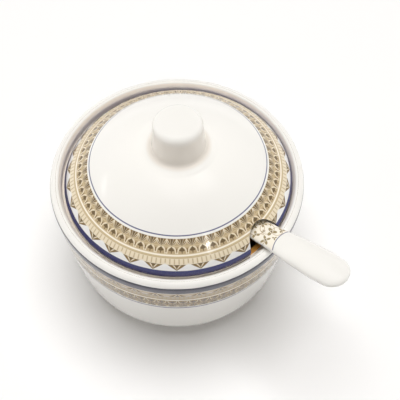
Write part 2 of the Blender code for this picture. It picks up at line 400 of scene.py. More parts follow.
    def draw_pendants(self) -> None:
        """Draw the hanging triangles with their pale leaf veins."""
        shape = self.pendant_x.below(self.printed() - 0.01, 0.03)
        zone = self.along.between(self.pendant_start, self.pendant_tip + 0.2, self.soft)
        self.paint.layer(shape * zone, Ink.DARK_GOLD)
        vein = abs(self.pendant_x - (self.pendant_tip - 0.75 - self.along) * 0.088)
        self.paint.layer(vein.below(0.028, 0.025) * shape * zone, Ink.PALE)
        leaf = abs(self.pendant_x - (self.pendant_tip - 1.6 - self.along) * 0.2 - 0.02)
        lower = self.along.below(self.pendant_tip - 1.2, 0.2)
        self.paint.layer(leaf.below(0.02, 0.02) * shape * zone * lower * 0.7, Ink.PALE)
        heart = self.pendant_x.below((self.pendant_tip - 0.5 - self.along) * 0.05, 0.03)
        self.paint.layer(heart * zone * 0.8, Ink.BROWN)
        top = self.along.between(self.pendant_start, self.pendant_start + 0.25, self.soft)
        self.paint.layer(top * shape * 0.6, Ink.BROWN)

    def draw_navy(self) -> None:
        """Lay painted shade on the rows and the band; draw the thin line, and the band with wear specks
        painted denser outwards as reflection.
        """
        # Painted shade: brown again over the rows, after their motifs.
        rows = self.along.between(self.palmette_start, self.stem_end, self.soft)
        self.paint.layer(rows * self.shade * 0.4, Ink.BROWN)
        thin = self.along.between(-self.line, self.line, self.soft)
        self.paint.layer(thin * 0.9, Ink.NAVY)
        band_end = self.group.given("Band End")
        band = self.along.above(self.band_start, self.soft) * self.along.below(band_end, self.soft)
        self.paint.layer(band, Ink.NAVY)
        # Pale navy speckles: print wear, painted denser outwards as a painted reflection on the band's
        # steep edge.
        speckle = self.group.noise(1400.0, 2.0).above(0.56, 0.25)
        wear_and_sheen_share = ((self.along - self.band_start) / (band_end - self.band_start)).most(0.0) * 0.4 + 0.1
        self.paint.layer(band * speckle * wear_and_sheen_share, Ink.NAVY_WORN)
        # Painted shade: blackish blue over the band.
        self.paint.layer(band * self.shade, Ink.BLACK_BLUE)


@dataclass(frozen=True)
class BorderFit:
    """How the border is laid round a piece: its pendants, its band's end and the painted shade over its
    print.
    """

    pendants: int
    first_pendant: float
    band_end: float
    shade: float


@dataclass
class GlazeSkin:
    """The glaze's own unevenness: a slow drift of tone, and a faint ripple in its gloss."""

    drift_scale: float = 35.0
    ripple_scale: float = 420.0
    group: Group = field(init=False)

    def __post_init__(self) -> None:
        """Build the node group."""
        shared = {"Colour": "NodeSocketColor", "Roughness": "NodeSocketFloat"}
        inputs = {"Place": "NodeSocketVector", **shared}
        self.group = Group("glaze_skin", inputs, {**shared, "Height": "NodeSocketFloat"})
        drift = self.group.noise(self.drift_scale, 2.0)
        ripple = self.group.noise(self.ripple_scale, 1.0)
        tone = self.group.tree.nodes.new("ShaderNodeMix")
        tone.data_type = 'RGBA'
        tone.blend_type = 'MULTIPLY'
        tone.inputs[Paint.FACTOR].default_value = 1.0
        grey = self.group.tree.nodes.new("ShaderNodeCombineColor")
        for label, depth in (("Red", 0.020), ("Green", 0.024), ("Blue", 0.034)):
            self.group.tree.links.new((1.0 - drift * depth).socket, grey.inputs[label])
        self.group.tree.links.new(self.group.entry.outputs["Colour"], tone.inputs[Paint.UNDER])
        self.group.tree.links.new(grey.outputs[0], tone.inputs[Paint.OVER])
        self.group.give("Colour", tone.outputs[Paint.RESULT])
        self.group.give("Roughness", (self.group.given("Roughness") + (drift - 0.5) * 0.05).socket)
        self.group.give("Height", (drift * 0.7 + ripple * 0.3).socket)


class Dressing:
    """A material that starts from a glaze and lets a print be added to its colour."""

    def __init__(self, name: str, glaze: Glaze, skin: GlazeSkin) -> None:
        """Make the material.

        Args:
            name: the material's name.
            glaze: its glaze.
            skin: the shared unevenness of glazes.
        """
        self.material = bpy.data.materials.new(name)
        self.material.use_nodes = True
        self.tree = self.material.node_tree
        self.shader = self.tree.nodes["Principled BSDF"]
        self.shader.inputs["Coat Weight"].default_value = glaze.coat
        self.shader.inputs["Coat Roughness"].default_value = 0.04
        self.place = self.tree.nodes.new("ShaderNodeTexCoord").outputs["Object"]
        self.skin = self.add_group(skin.group)
        self.skin.inputs["Colour"].default_value = glaze.ground
        self.skin.inputs["Roughness"].default_value = glaze.roughness
        self.tree.links.new(self.skin.outputs["Colour"], self.shader.inputs["Base Color"])
        self.tree.links.new(self.skin.outputs["Roughness"], self.shader.inputs["Roughness"])
        bump = self.tree.nodes.new("ShaderNodeBump")
        bump.inputs["Strength"].default_value = 0.12
        bump.inputs["Distance"].default_value = 0.25 * MM
        self.tree.links.new(self.skin.outputs["Height"], bump.inputs["Height"])
        self.tree.links.new(bump.outputs["Normal"], self.shader.inputs["Normal"])
        self.material.diffuse_color = glaze.ground

    def add_group(self, group: Group) -> bpy.types.ShaderNodeGroup:
        """Place a node group that follows the surface.

        Args:
            group: the group.

        Returns:
            Its node in this material.
        """
        node = self.tree.nodes.new("ShaderNodeGroup")
        node.node_tree = group.tree
        self.tree.links.new(self.place, node.inputs["Place"])
        return node

    def axes(self, origin: Vector, turn: Matrix) -> tuple[Field, Field, Field]:
        """Return the place on the surface as seen from a moved and turned frame.

        Args:
            origin: the frame's origin.
            turn: the frame's rotation.

        Returns:
            Fields of x, y and z in metres.
        """
        mapping = self.tree.nodes.new("ShaderNodeMapping")
        mapping.vector_type = 'TEXTURE'
        mapping.inputs["Location"].default_value = origin
        mapping.inputs["Rotation"].default_value = turn.to_euler()
        split = self.tree.nodes.new("ShaderNodeSeparateXYZ")
        self.tree.links.new(self.place, mapping.inputs["Vector"])
        self.tree.links.new(mapping.outputs["Vector"], split.inputs["Vector"])
        return tuple(Field(self.tree, split.outputs[label]) for label in "XYZ")

    def add_border(self, border: PrintedBorder, fit: BorderFit, angle: Field, along: Field) -> Paint:
        """Place the printed border.

        Args:
            border: the border.
            fit: how it is laid round the piece.
            angle: the angle round the piece's axis.
            along: the way from the border's thin line, in millimetres.

        Returns:
            The paint, for further layers.
        """
        node = self.add_group(border.group)
        self.tree.links.new(angle.socket, node.inputs["Angle"])
        self.tree.links.new(along.socket, node.inputs["Along"])
        node.inputs["Pendants"].default_value = fit.pendants
        node.inputs["First Pendant"].default_value = math.radians(fit.first_pendant)
        node.inputs["Band End"].default_value = fit.band_end
        node.inputs["Shade"].default_value = fit.shade
        node.inputs["Ground"].default_value = WHITE_GLAZE.ground
        return Paint(self.tree, node.outputs["Colour"])

    def cover(self, piece: bpy.types.Object, paint: Paint) -> None:
        """Put a print under the glaze's skin, and this material on a piece.

        Args:
            piece: the piece.
            paint: the print.
        """
        self.tree.links.new(paint.colour, self.skin.inputs["Colour"])
        piece.data.materials.append(self.material)


class Bench:
    """Modelling steps that several pieces use."""

    @staticmethod
    def arc(centre: Point, radius: float, start: float, end: float, steps: int) -> list[Point]:
        """Return points of an arc in the section plane, with angles in degrees from outward towards up."""
        angles = (math.radians(start + (end - start) * i / steps) for i in range(steps + 1))
        return [(centre[0] + radius * math.cos(a), centre[1] + radius * math.sin(a)) for a in angles]

    @staticmethod
    def start(name: str) -> bpy.types.Object:
        """Name the primitive that was just added and open it for editing.

        Args:
            name: the piece's name.

        Returns:
            The piece.
        """
        piece = bpy.context.object
        piece.name = name
        piece.data.name = name
        bpy.ops.object.mode_set(mode='EDIT')
        bpy.ops.mesh.select_all(action='SELECT')
        return piece

    @staticmethod
    def lathe(name: str, outline: list[Point], steps: int) -> bpy.types.Object:
        """Draw an outline from one point by extruding it, and spin it round the axis.

        Args:
            name: the piece's name.
            outline: (radius, height) points from the axis back to the axis.
            steps: stretches in a full turn.

        Returns:
            The closed piece.
        """
        bpy.ops.object.select_all(action='DESELECT')
        bpy.ops.mesh.primitive_plane_add(size=MM)
        piece = Bench.start(name)
        bpy.ops.mesh.merge(type='CENTER')
        bpy.ops.transform.translate(value=(outline[0][0], 0.0, outline[0][1]))
        for here, there in zip(outline, outline[1:]):
            step = (there[0] - here[0], 0.0, there[1] - here[1])
            bpy.ops.mesh.extrude_region_move(TRANSFORM_OT_translate={"value": step})
        bpy.ops.mesh.select_all(action='SELECT')
        bpy.ops.mesh.spin(steps=steps, angle=math.tau, center=(0, 0, 0), axis=(0, 0, 1))
        Bench.close()
        return piece

    @staticmethod
    def close() -> None:
        """Merge doubles, turn faces outwards and leave edit mode."""
        bpy.ops.mesh.select_all(action='SELECT')
        bpy.ops.mesh.remove_doubles(threshold=0.002 * MM)
        bpy.ops.mesh.normals_make_consistent(inside=False)
        bpy.ops.object.mode_set(mode='OBJECT')

    @staticmethod
    def smooth(piece: bpy.types.Object, degrees: float) -> None:
        """Shade a piece smooth, apart from edges sharper than an angle.

        Args:
            piece: the piece.
            degrees: the angle.
        """
        bpy.ops.object.select_all(action='DESELECT')
        piece.select_set(True)
        bpy.context.view_layer.objects.active = piece
        bpy.ops.object.shade_smooth_by_angle(angle=math.radians(degrees))

    @staticmethod
    def hand_over(piece: bpy.types.Object, node: str) -> None:
        """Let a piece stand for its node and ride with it.

        Args:
            piece: the finished piece.
            node: the node, which is also its body and slot.
        """
        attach(piece, node)
        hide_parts(node)
        LOG.info("%s: %d faces", piece.name, len(piece.data.polygons))


class Surface(Enum):
    """The pot's finishes, by the place of their material."""

    OUTSIDE = 0
    HOLLOW = 1
    SEAT = 2


@dataclass
class Pot:
    """The bowl: foot ring, tapering wall, round rim and the seat for the lid."""

    rim_radius: float = 55.0 * MM
    rim_height: float = RIM_HEIGHT
    rim_round: float = 2.45 * MM
    rim_edge_round: float = 2.8 * MM
    crest_round: float = 1.2 * MM
    crest_flat: float = 0.1 * MM
    slope: float = 51.0
    slope_inset: float = 0.25 * MM
    slope_foot: float = 0.6 * MM
    wall_top_drop: float = 1.0 * MM
    wall_bulge: float = 700.0 * MM
    taper_top: float = 6.0
    taper_foot: float = 9.8
    heel_round: float = 16.0 * MM
    foot_radius: float = 36.6 * MM
    foot_width: float = 3.4 * MM
    foot_round: float = 0.6 * MM
    foot_recess: float = 1.6 * MM
    wall: float = 3.6 * MM
    seat_drop: float = SEAT_DROP
    lip_radius: float = 45.6 * MM
    hollow_edge: float = 48.2 * MM
    lip_depth: float = 4.0 * MM
    lip_blend: float = 8.0 * MM
    small_round: float = 0.8 * MM
    border_line: float = -20.6 * MM
    border_top: float = 0.7 * MM
    # The last value is painted shade, which darkens the border on the wall.
    border_fit: BorderFit = BorderFit(38, -91.0, 18.5, 0.88)
    line_half_width: float = 0.5 * MM
    print_inset: float = 1.15
    bare_foot: float = 0.5 * MM
    turn_steps: int = 224
    crease: float = 35.0

    def centres(self) -> tuple[Vector, Vector]:
        """Find the centres of the wall's long arc and of the heel.

        Returns:
            The two as (radius, height).
        """
        top = Vector((self.rim_radius, self.rim_height - self.wall_top_drop))
        lean = math.radians(self.taper_top)
        bulge = top - self.wall_bulge * Vector((math.cos(lean), -math.sin(lean)))
        lean = math.radians(self.taper_foot)
        heel = bulge + (self.wall_bulge - self.heel_round) * Vector((math.cos(lean), -math.sin(lean)))
        return bulge, heel

    def outline(self) -> list[Point]:
        """Draw the section from the axis under the base, over the rim, to the axis on the floor.

        Returns:
            Its (radius, height) points.
        """
        bulge, heel = self.centres()
        foot_inside = self.foot_radius - self.foot_width
        foot_angle = -math.degrees(math.acos((self.foot_radius - heel.x) / self.heel_round))
        seat = self.rim_height - self.seat_drop
        below = seat - self.lip_depth - self.lip_blend
        inner_bulge = self.wall_bulge - self.wall
        blend_angle = -math.degrees(math.asin((bulge.y - below) / inner_bulge))
        rim_inside = self.rim_radius - 2 * self.rim_round
        small = self.small_round
        points = [(0.0, self.foot_recess), (0.6 * foot_inside, self.foot_recess)]
        points += [(foot_inside - self.foot_recess, self.foot_recess)]
        edge = self.foot_round
        points += Bench.arc((foot_inside + edge, edge), edge, 200, 270, 6)
        points += Bench.arc((self.foot_radius - edge, edge), edge, 270, 350, 6)
        points += Bench.arc(heel, self.heel_round, foot_angle, -self.taper_foot, 22)
        points += Bench.arc(bulge, self.wall_bulge, -self.taper_foot, -self.taper_top, 14)[1:]
        rim_top = self.rim_height + self.rim_round
        crest = self.rim_radius - self.rim_edge_round
        points += Bench.arc((crest, rim_top - self.rim_edge_round), self.rim_edge_round, 0, 90, 14)
        inner = crest - self.crest_flat
        points += Bench.arc((inner, rim_top - self.crest_round), self.crest_round, 90, 90 + self.slope, 10)
        slope_start, slope_top = points[-1]
        slope_end = slope_top - (slope_start - rim_inside) * math.tan(math.radians(self.slope))
        points += [(rim_inside + self.slope_inset, slope_end), (rim_inside, slope_end - self.slope_foot)]
        points += Bench.arc((rim_inside - small, seat + small), small, 0, -90, 6)
        points += [(self.hollow_edge, seat)]
        points += Bench.arc((self.lip_radius + small, seat - small), small, 90, 180, 6)
        points += [(self.lip_radius, seat - self.lip_depth)]
        points += Bench.arc(bulge, inner_bulge, blend_angle, -self.taper_foot, 12)
        points += Bench.arc(heel, self.heel_round - self.wall, -self.taper_foot, -90, 18)[1:]
        return points + [(0.0, heel.y - self.heel_round + self.wall)]

    def build(self) -> bpy.types.Object:
        """Spin the bowl.

        Returns:
            The bowl.
        """
        piece = Bench.lathe("pot_body", self.outline(), self.turn_steps)
        Bench.smooth(piece, self.crease)
        return piece

    def is_inside(self, face: bpy.types.MeshPolygon) -> bool:
        """Tell whether a face lies in the hollow, up to the lid's seat.

        Args:
            face: the face.

        Returns:
            Whether it does.
        """
        place = Vector(face.center)
        outward = Vector((place.x, place.y, 0.0)).normalized()
        seat = self.rim_height - self.seat_drop
        top = seat + 0.05 * MM if math.hypot(place.x, place.y) < self.hollow_edge else seat - 0.2 * MM
        if not 2 * self.foot_recess < place.z < top:
            return False
        return face.normal.dot(outward) < -0.05 or face.normal.z > 0.5

    def takes_painted_warm_light(self, face: bpy.types.MeshPolygon) -> bool:
        """Tell whether a face is on the lid's seat or the slope above it, which get painted warm light.

        Args:
            face: the face.

        Returns:
            Whether it is.
        """
        crest_drop = self.crest_round * (1.0 - math.cos(math.radians(self.slope)))
        top = self.rim_height + self.rim_round - crest_drop
        radius = math.hypot(face.center.x, face.center.y)
        between = self.rim_height - self.seat_drop - 0.1 * MM < face.center.z < top
        return between and self.hollow_edge < radius < self.rim_radius - self.rim_edge_round

    def surface(self, face: bpy.types.MeshPolygon) -> Surface:
        """Choose the finish of a face.

        Args:
            face: the face.

        Returns:
            The finish.
        """
        if self.is_inside(face):
            return Surface.HOLLOW
        return Surface.SEAT if self.takes_painted_warm_light(face) else Surface.OUTSIDE

    def dress(self, piece: bpy.types.Object, border: PrintedBorder, skin: GlazeSkin) -> None:
        """Print the border round the wall, colour the hollow amber-brown, paint warm light on the seat and
        the slope above it, and leave the foot bare.

        Args:
            piece: the bowl.
            border: the printed border.
            skin: the glaze's unevenness.
        """
        dressing = Dressing("pot_glaze", WHITE_GLAZE, skin)
        x, y, z = dressing.axes(Vector((0, 0, self.rim_height + self.border_line)), Matrix.Identity(3))
        radius = x.hypot(y)
        scale = self.border_fit.band_end / (self.border_top - self.border_line)
        outside = radius.above(self.rim_radius - self.print_inset * self.rim_round, 0.4 * MM)
        along = z * scale + (1.0 - outside) * OFF_PRINT
        paint = dressing.add_border(border, self.border_fit, y.angle_over(x), along)
        # Bare clay on the foot: its own colour.
        paint.layer(z.below(self.bare_foot - self.rim_height - self.border_line, 0.2 * MM), Ink.BISCUIT)
        paint.layer(abs(z).below(self.line_half_width, 0.15 * MM) * outside * 0.9, Ink.NAVY)
        dressing.cover(piece, paint)
        # The hollow is coloured amber-brown.
        piece.data.materials.append(Dressing("pot_hollow_amber", AMBER_HOLLOW, skin).material)
        # The seat and the slope above it take painted warm light.
        piece.data.materials.append(Dressing("pot_seat_painted_light", WARM_LIGHT_PAINT, skin).material)
        for face in piece.data.polygons:
            face.material_index = self.surface(face).value


@dataclass
class Lid:
    """The domed lid with its knob and the notch for the spoon. It leans, because the spoon props it."""

    rim_height: float = RIM_HEIGHT
    seat_drop: float = SEAT_DROP
    radius: float = 49.35 * MM
    tilt: float = 2.3
    raised_side: float = -60.0
    shift: float = 0.45 * MM
    dome_radius: float = 60.0 * MM
    dome_drop: float = 35.1 * MM
    skirt_start: float = 37.0 * MM
    skirt_radius: float = 400.0 * MM
    shoulder_start: float = 45.5 * MM
    shoulder_radius: float = 15.0 * MM
    thickness: float = 2.3 * MM
    ease: float = 0.4 * MM
    seat_gap: float = 0.3 * MM
    knob_radius: float = 10.3 * MM
    knob_base_radius: float = 11.2 * MM
    knob_rise: float = 39.3 * MM
    knob_top_round: float = 3.0 * MM
    knob_crown: float = 0.6 * MM
    knob_fillet: float = 1.6 * MM
    knob_shift: tuple[float, float] = (0.95 * MM, -0.9 * MM)
    knob_blend: float = 6.0 * MM
    notch_half_width: float = 9.2 * MM
    notch_half_length: float = 13.5 * MM
    notch_centre: float = 50.65 * MM
    notch_drop: float = 2.4 * MM
    notch_lean: float = 46.0
    notch_azimuth: float = -43.4
    notch_ease: float = 0.5 * MM
    notch_facets: int = 128
    notch_cutter: float = 40.0 * MM
    line_radius: float = 37.6 * MM
    border_shift: tuple[float, float] = (0.45 * MM, -0.1 * MM)
    border_stretch: float = 1.019
    # The last value is painted shade, a little of it over the lid's border.
    border_fit: BorderFit = BorderFit(31, -92.1, 17.9, 0.1)
    edge_start: float = 48.2 * MM
    # Painted warm shade on the knob's side: its inner and outer reach, softness and strength.
    knob_shade_inside: float = 1.2 * MM
    knob_shade_outside: float = 2.0 * MM
    knob_shade_soft: float = 1.6 * MM
    knob_shade_strength: float = 0.38
    turn_steps: int = 224
    crease: float = 35.0

    def foot(self) -> float:
        """Return the level lid's foot height from the rim, which clears the seat once the lid leans."""
        return self.radius * math.sin(math.radians(self.tilt)) - self.seat_drop + self.seat_gap

    def outline(self) -> list[Point]:
        """Draw the level lid's section: knob, dome, edge and hollow underside.

        Returns:
            Its (radius, height) points, with heights from the rim.
        """
        foot = self.foot()
        crown_edge = self.knob_radius - self.knob_top_round
        side_top = self.knob_rise - self.knob_crown - self.knob_top_round
        fillet_radius = self.knob_base_radius + self.knob_fillet
        reach = self.dome_radius + self.knob_fillet
        fillet_height = math.sqrt(reach ** 2 - fillet_radius ** 2) - self.dome_drop
        flare = math.degrees(math.atan2(self.knob_base_radius - self.knob_radius, side_top - fillet_height))
        dome_start = math.degrees(math.acos(fillet_radius / reach))
        skirt, shoulder = self.arc_centres()
        dome_end = math.degrees(math.acos(self.skirt_start / self.dome_radius))
        skirt_end = math.degrees(math.acos((self.shoulder_start - skirt.x) / self.skirt_radius))
        edge_radius = self.radius - self.ease
        edge_reach = self.shoulder_radius - self.ease
        shoulder_end = math.degrees(math.acos((edge_radius - shoulder.x) / edge_reach))
        edge_height = shoulder.y + edge_reach * math.sin(math.radians(shoulder_end))
        hollow = self.dome_radius - self.thickness
        hollow_start = math.degrees(math.asin((foot + self.dome_drop) / hollow))
        points = [(0.0, self.knob_rise), (0.35 * crown_edge, self.knob_rise - 0.12 * self.knob_crown)]
        points += [(0.7 * crown_edge, self.knob_rise - 0.5 * self.knob_crown)]
        points += Bench.arc((crown_edge, side_top), self.knob_top_round, 82, flare, 16)
        fillet = (fillet_radius, fillet_height)
        points += Bench.arc(fillet, self.knob_fillet, 180 + flare, 180 + dome_start, 10)
        points += Bench.arc((0.0, -self.dome_drop), self.dome_radius, dome_start, dome_end, 30)[1:]
        points += Bench.arc(skirt, self.skirt_radius, dome_end, skirt_end, 10)[1:]
        points += Bench.arc(shoulder, self.shoulder_radius, skirt_end, shoulder_end, 12)[1:]
        points += Bench.arc((edge_radius, edge_height), self.ease, shoulder_end, 0, 6)[1:]
        points += Bench.arc((edge_radius, foot + self.ease), self.ease, 0, -90, 6)
        points += Bench.arc((0.0, -self.dome_drop), hollow, hollow_start, 90, 32)
        return points[:-1] + [(0.0, hollow - self.dome_drop)]

    def arc_centres(self) -> tuple[Vector, Vector]:
        """Find the centres of the even skirt and of the rounder shoulder outside the dome.

        Returns:
            The two as (radius, height).
        """
        rise = math.acos(self.skirt_start / self.dome_radius)
        out = Vector((math.cos(rise), math.sin(rise)))
        skirt = Vector((0.0, -self.dome_drop)) - (self.skirt_radius - self.dome_radius) * out
        rise = math.acos((self.shoulder_start - skirt.x) / self.skirt_radius)
        out = Vector((math.cos(rise), math.sin(rise)))
        return skirt, skirt + (self.skirt_radius - self.shoulder_radius) * out

    def lean(self) -> Matrix:
        """Return the rotation that raises the lid's one side."""
        side = math.radians(self.raised_side)
        return Matrix.Rotation(math.radians(self.tilt), 3, Vector((math.sin(side), -math.cos(side), 0.0)))

    def place(self) -> Vector:
        """Return the point at the rim's height that the lid leans about."""
        return Vector((self.shift, 0.0, self.rim_height))

    def shift_knob(self, piece: bpy.types.Object) -> None:
        """Move the knob a little off the middle, as it was stuck on by hand, easing out over the dome.

        Args:
            piece: the level lid.
        """
        reach = self.knob_base_radius + self.knob_fillet
        for vertex in piece.data.vertices:
            beyond = (math.hypot(vertex.co.x, vertex.co.y) - reach) / self.knob_blend
            share = 1.0 - min(max(beyond, 0.0), 1.0)
            outer = vertex.co.z > self.dome_radius - self.dome_drop - self.thickness
            ease = share * share * (3 - 2 * share) * outer
            vertex.co.x += self.knob_shift[0] * ease
            vertex.co.y += self.knob_shift[1] * ease

    def cut_notch(self, piece: bpy.types.Object) -> None:
        """Cut the round notch out of the edge and ease its edges.

        Args:
            piece: the lid, already leaning in its place.
        """
        azimuth = math.radians(self.notch_azimuth)
        place = (self.notch_centre * math.cos(azimuth), self.notch_centre * math.sin(azimuth),
                 self.rim_height - self.notch_drop)
        bpy.ops.object.select_all(action='DESELECT')
        turn = (0.0, math.radians(self.notch_lean), azimuth)
        bpy.ops.mesh.primitive_cylinder_add(vertices=self.notch_facets, radius=self.notch_half_width,
                                            depth=self.notch_cutter, location=place, rotation=turn)
        cutter = bpy.context.object
        cutter.scale.x = self.notch_half_length / self.notch_half_width
        cut = piece.modifiers.new("notch", 'BOOLEAN')
        cut.operation = 'DIFFERENCE'
        cut.solver = 'EXACT'
        cut.object = cutter
        bevel = piece.modifiers.new("notch_ease", 'BEVEL')
        bevel.width = self.notch_ease
        bevel.segments = 4
        bevel.limit_method = 'ANGLE'
        bevel.angle_limit = math.radians(50)
        bpy.context.view_layer.objects.active = piece
        for modifier in [m.name for m in piece.modifiers]:
            bpy.ops.object.modifier_apply(modifier=modifier)
        bpy.data.objects.remove(cutter, do_unlink=True)

    def build(self) -> bpy.types.Object:
        """Spin the lid, lean its dome, set its foot level on the seat and cut its notch.

        Returns:
            The lid.
        """
        piece = Bench.lathe("lid_dome", self.outline(), self.turn_steps)
        self.shift_knob(piece)
        foot = self.foot()
        low = foot + 0.9 * self.ease
        ground = [(v.index, v.co.z - foot) for v in piece.data.vertices if v.co.z < low]
        piece.rotation_euler = self.lean().to_euler()
        piece.location = self.place()
        bpy.ops.object.transform_apply(location=True, rotation=True, scale=False)
        for index, above in ground:
            piece.data.vertices[index].co.z = self.rim_height - self.seat_drop + self.seat_gap + above
        self.cut_notch(piece)
        Bench.smooth(piece, self.crease)
        return piece

    def dress(self, piece: bpy.types.Object, border: PrintedBorder, skin: GlazeSkin) -> None:
        """Print the border round the dome, and paint warm shade on the knob's side.

        Args:
            piece: the lid.
            border: the printed border.
            skin: the glaze's unevenness.
        """
        dressing = Dressing("lid_glaze", WHITE_GLAZE, skin)
        lean = self.lean()
        centre = self.place() + lean @ Vector((*self.border_shift, -self.dome_drop))
        x, y, z = dressing.axes(centre, lean)
        radius = x.hypot(y)
        reach = x.hypot(y, z)
        outside = reach.above(self.dome_radius - 0.7 * MM, 0.2 * MM)
        outside = outside.most(radius.above(self.edge_start, 0.1 * MM))
        skirt, shoulder = (arc + Vector((0.0, self.dome_drop)) for arc in self.arc_centres())
        start = math.asin((self.line_radius - skirt.x) / self.skirt_radius)
        turn = math.asin((self.shoulder_start - skirt.x) / self.skirt_radius)
        on_skirt = ((radius - skirt.x).angle_over(z - skirt.y) - start) * self.skirt_radius
        on_shoulder = ((radius - shoulder.x).angle_over(z - shoulder.y) - turn) * self.shoulder_radius
        beyond = radius.above(self.shoulder_start, 0.01 * MM)
        along = on_skirt + (on_shoulder + (turn - start) * self.skirt_radius - on_skirt) * beyond
        along = along * (self.border_stretch / MM) + (1.0 - outside) * OFF_PRINT
        paint = dressing.add_border(border, self.border_fit, y.angle_over(x), along)
        from_knob_x = x - (self.knob_shift[0] - self.border_shift[0])
        from_knob_y = y - (self.knob_shift[1] - self.border_shift[1])
        from_knob = from_knob_x.hypot(from_knob_y)
        below_top = z.below(self.knob_rise + self.dome_drop - self.knob_top_round, 4.0 * MM)
        # Painted warm shade round the knob's side, below its rounded top.
        inside, beyond = self.knob_radius - self.knob_shade_inside, self.knob_base_radius + self.knob_shade_outside
        painted_knob_shade = from_knob.between(inside, beyond, self.knob_shade_soft)
        paint.layer(painted_knob_shade * below_top * self.knob_shade_strength, Ink.BISCUIT)
        dressing.cover(piece, paint)


@dataclass(frozen=True)
class Sprig:
    """One small flower or leaf of the spoon's print, in millimetres along and across the spoon."""

    along: float
    across: float
    size: float
    petals: int
    turn: float


